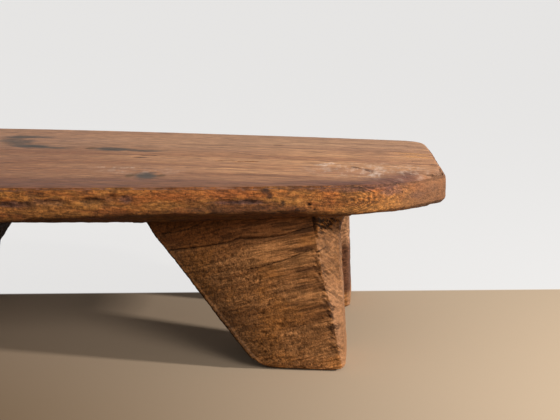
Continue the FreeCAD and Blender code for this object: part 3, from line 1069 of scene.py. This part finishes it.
def leg_material(corner):
    """A leg: dry brown wood with its grain rising outwards, and a rubbed facet."""
    material, place, direction = new_material("leg_wood_" + corner)
    flip_x = -1 if corner.endswith("left") else 1
    flip_y = -1 if corner.startswith("rear") else 1
    outward = direction[0] * flip_x
    own = mapped(place, (flip_x, flip_y, 1))
    x, y, z = parts_of(own)
    shift = (0, LEG_SHIFT * CORNERS.index(corner), 0)
    turned = mapped(own, turn=(0, LEG_GRAIN_RISE, 0), shift=shift)
    torn = mapped(own, turn=(0, -TORN_FIBRE_FALL, 0), shift=shift)
    gx, gy, gz = parts_of(turned)
    sway = noise(turned, (7, 9, 12), 3.0)
    bent = joined(gx, gy, gz + sway * (LEG_SWAY * MM))
    bands = noise(bent, (7, 24, 62), 2.0, 0.5)
    streak = noise(bent, (18, 60, 210), 4.0, 0.66)
    cloud = noise(own, (14, 14, 14), 4.0, 0.6, shift)
    turns = (gz + sway * (RIB_SWAY * MM)) * (2 * math.pi / (RIB_SPACING * MM))
    ribs = calc("SINE", turns + (cloud - 0.5) * 7.0)
    hairs = noise(bent, (60, 200, 480), 2.0, 0.6)
    crumbs = noise(own, (210, 210, 210), 4.0, 0.9, shift)
    specks = noise(own, (440, 440, 330), 2.0, 0.7, shift)
    fibre = noise(torn, (60, 90, 330), 3.0, 0.6)
    grit = noise(own, (640, 640, 640), 1.0, 0.6)

    wander = stray(cloud, 120)
    rasped = over(x + z * RASPED_COLOUR_LEAN + wander, (255, 315)).inverted()
    facet = ramp(outward, 0.35, 0.65)
    colour = mix(ramp(streak * 0.5 + bands * 0.5, 0.40, 0.60), LEG_BROWN, LEG_LIGHT)
    colour = mix(ramp(cloud, 0.50, 0.62) * 0.5, colour, LEG_ORANGE)
    rib_lines = ramp(ribs, 0.35, 1.0) * ramp(bands, 0.36, 0.54, 1.0, 0.25)
    rib_lines = rib_lines * rasped.inverted() * facet.inverted()
    colour = mix(rib_lines * 0.42, colour, LEG_DARK)
    colour = mix(ramp(specks, 0.40, 0.47).inverted() * (rasped * 0.28 + 0.03), colour, LEG_FLECK)
    colour = mix(ramp(specks, 0.57, 0.64) * rasped * ramp(cloud, 0.48, 0.60) * 0.7, colour, LEG_ORANGE)

    foot_x = FOOT_INNER_X[corner.split("_")[0]]
    head_x = min(abs(end.x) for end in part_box("leg_" + corner)) / MM
    # Painted shade: the legs' faces are painted darker towards the sloping edge
    wander = stray(cloud, 30)
    from_slope = x - foot_x * MM + z * ((foot_x - head_x) / TOP_OF_LEG) + wander
    # Painted shade: dark under the board above a line that rises outwards, but not on the facet
    head = over(z - x * HEAD_SHADE_SLOPE, (96, 121))
    shade = weakened(over(from_slope, (-4, 64), 0.37, 1.0), (head * 0.75).inverted())
    colour = mix(head * facet.inverted() * 0.74, colour, LEG_HEAD_SHADE)
    colour = mix(facet * over(z, (70, 110), 0.70, 0.40), colour, LEG_FACET)
    if corner == "front_right":
        colour = front_right_marks(colour, own, x, z, facet, streak, cloud, crumbs, fibre)
    if corner.startswith("front"):
        colour = torn_strip(colour, x, z, fibre)
    if corner == "rear_right":
        colour = rear_right_stain(colour, own, y, z, cloud)

    crumb_share = mix_number(facet, 1.0, 0.35)
    colour = mottled(colour, crumbs, 0.16, 0.75, 1.27, crumb_share)
    hair_share = mix_number(rasped, 1.15, 0.7) * mix_number(facet, 1.0, 0.45)
    colour = mottled(times(colour, shade), hairs, 0.12, 0.66, 1.34, hair_share)
    grit_share = mix_number(rasped, 0.35, 0.9) * mix_number(facet, 1.0, 0.4)
    colour = mottled(colour, grit, 0.13, 0.74, 1.26, grit_share)
    # Painted shade: faces that turn towards the table's middle, such as the inner slopes, are painted
    # darker
    colour = times(colour, ramp(outward, -0.50, -0.08, 0.34, 1.0))
    # Painted light: the legs are painted lighter towards the floor
    colour = times(colour, over(z, (0, 26), 1.42, 1.0))
    torn_share = facet * over(z, (40, 90), 0.35, 1.0)
    colour = mottled(colour, fibre, 0.12, 0.66, 1.30, torn_share)
    # Painted shade: the facet is painted darker near the board
    colour = times(colour, facet * over(z, (85, 115)) * -FACET_HIGH_SHADE + 1.0)
    roughness = mix_number(facet, 0.80, 0.62) + (streak - 0.5) * 0.2
    relief = streak * 0.8 + crumbs * 1.5 + hairs * 0.7 + ramp(specks, 0.38, 0.50) * rasped * 0.6
    relief = relief + fibre * torn_share * 1.6 + rib_lines * -0.30
    finish_wood(material, colour, roughness, relief, LEG_RELIEF, LEG_SPECULAR)
    return material


def peg_material():
    """Riven pegs: pale straight grain that runs upright."""
    material, place, _ = new_material("peg_wood")
    streak = noise(place, (420, 420, 14), 4.0, 0.6)
    fibre = noise(place, (1300, 1300, 60), 2.0, 0.6)
    colour = mix(ramp(streak, 0.35, 0.65), PEG_DARK, PEG_LIGHT)
    roughness = ramp(streak, 0.3, 0.7, 0.75, 0.6)
    finish_wood(material, colour, roughness, streak + fibre, PEG_RELIEF, LEG_SPECULAR)
    return material


# The room

def flat_ground():
    """A pale floor with painted light, darker towards the front left and lighter towards the right and the
    back, with a paler one beyond the line behind the table.
    """
    mesh = bpy.data.meshes.new("ground")
    half = GROUND_HALF
    corners = [(-half, -half, 0), (half, -half, 0), (half, half, 0), (-half, half, 0)]
    mesh.from_pydata(corners, [], [(0, 1, 2, 3)])
    ground = added("ground", mesh)
    material, place, _ = new_material("pale_floor")
    tree = material.node_tree
    x, y, _ = parts_of(place)
    beyond = ramp(y - x * FLOOR_LINE_SLOPE, *FLOOR_LINE_SPAN)
    # Painted light: the floor's colour darkens towards the front left and lightens towards the right and
    # the back
    left = mix(ramp(y, *FLOOR_PAINTED_LIGHT_BACK_SPAN), FLOOR_FRONT_PAINTED_SHADE, FLOOR_BACK_PAINTED_LIGHT)
    near = mix(ramp(x + y * FLOOR_PAINTED_LIGHT_RIGHT_SLOPE, *FLOOR_PAINTED_LIGHT_RIGHT_SPAN), left, FLOOR_RIGHT_PAINTED_LIGHT)
    colour = mix(beyond, near, WALL_COLOUR)
    shader = tree.nodes["Principled BSDF"]
    feed(tree, shader.inputs["Base Color"], colour)
    shader.inputs["Roughness"].default_value = FLOOR_ROUGHNESS
    shader.inputs["Specular IOR Level"].default_value = FLOOR_SPECULAR
    by_camera = made(tree, "LightPath", {}, "Is Camera Ray")
    by_gloss = Wire(tree, by_camera.socket.node.outputs["Is Glossy Ray"])
    share = calc("MAXIMUM", by_camera, by_gloss) * beyond * WALL_GLOW_SHARE
    glow = made(tree, "Emission", {"Color": (*WALL_GLOW, 1.0)})
    blend = made(tree, "MixShader", {0: share, 1: Wire(tree, shader.outputs[0]), 2: glow})
    feed(tree, tree.nodes["Material Output"].inputs["Surface"], blend)
    mesh.materials.append(material)


def lamp(name, azimuth, elevation, distance, size, power, colour):
    """A soft square lamp that looks at the table from a direction in degrees."""
    data = bpy.data.lights.new(name, "AREA")
    data.shape = "SQUARE"
    data.size = size
    data.energy = power
    data.color = colour
    lamp_object = added(name, data)
    a, e = math.radians(azimuth), math.radians(elevation)
    away = Vector((math.sin(a) * math.cos(e), -math.cos(a) * math.cos(e), math.sin(e)))
    lamp_object.location = Vector(LAMP_TARGET) + away * distance
    lamp_object.rotation_euler = (-away).to_track_quat("-Z", "Y").to_euler()


def world_light():
    """Even light from all round, with a pale background for the camera."""
    world = bpy.data.worlds.new("soft_room")
    world.use_nodes = True
    tree = world.node_tree
    background = tree.nodes["Background"]
    background.inputs["Color"].default_value = (*ROOM_COLOUR, 1.0)
    by_camera = made(tree, "LightPath", {}, "Is Camera Ray")
    inputs = {"Value": by_camera, "To Min": ROOM_STRENGTH, "To Max": ROOM_SEEN_STRENGTH}
    feed(tree, background.inputs["Strength"], made(tree, "MapRange", inputs, "Result"))
    bpy.context.scene.world = world


def camera():
    """The camera at the photograph's viewing angle."""
    data = bpy.data.cameras.new("camera")
    data.sensor_width = SENSOR_WIDTH
    data.lens = LENS
    view = added("camera", data)
    view.location = CAMERA_PLACE
    view.rotation_euler = [math.radians(angle) for angle in CAMERA_TURN]
    bpy.context.scene.camera = view


camera()
dress(hewn_board(), board_material(), "tabletop_board")
for corner in CORNERS:
    dress(hewn_leg(corner), leg_material(corner), "leg_" + corner)
pegs = peg_material()
for name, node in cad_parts.items():
    if name.startswith("peg_"):
        node.data.materials.clear()
        node.data.materials.append(pegs)
flat_ground()
world_light()
for name, values in LAMPS.items():
    lamp(name, *values)
bpy.context.scene.view_settings.view_transform = "Standard"
